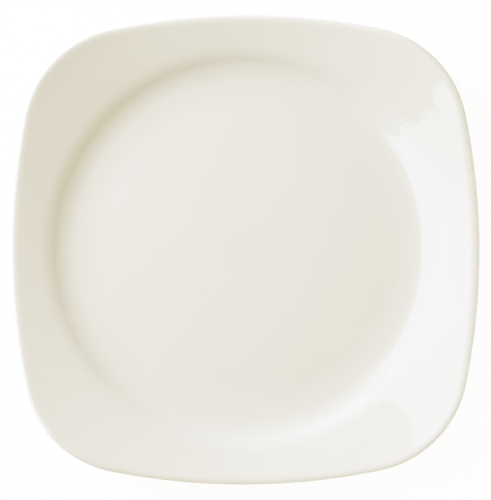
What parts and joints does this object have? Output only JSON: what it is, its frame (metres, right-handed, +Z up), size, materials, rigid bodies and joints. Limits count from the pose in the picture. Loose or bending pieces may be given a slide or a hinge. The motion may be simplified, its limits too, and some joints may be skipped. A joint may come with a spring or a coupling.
{
  "type": "square dinner plate",
  "caption": "Square dinner plate with bowed sides, round corners, a round well, a sloping rim and a foot ring, glazed all over but for the foot's standing face.",
  "frame": {"origin": "centre of the foot ring's standing face, on the surface that the plate stands on", "axes": "+Z up out of the well; X and Y run across the plate from side to side"},
  "size_m": [0.2656, 0.2656, 0.0255],
  "materials": {
    "bare_clay": "bare fired clay, matt and slightly sandy, shown only on the foot's standing face",
    "cream_glaze": "clear high gloss glaze with a warm cream tone"
  },
  "bodies": {
    "root": {"clay_body": "bare_clay", "face_glaze": "cream_glaze", "recess_glaze": "cream_glaze"}
  },
  "joints": []
}
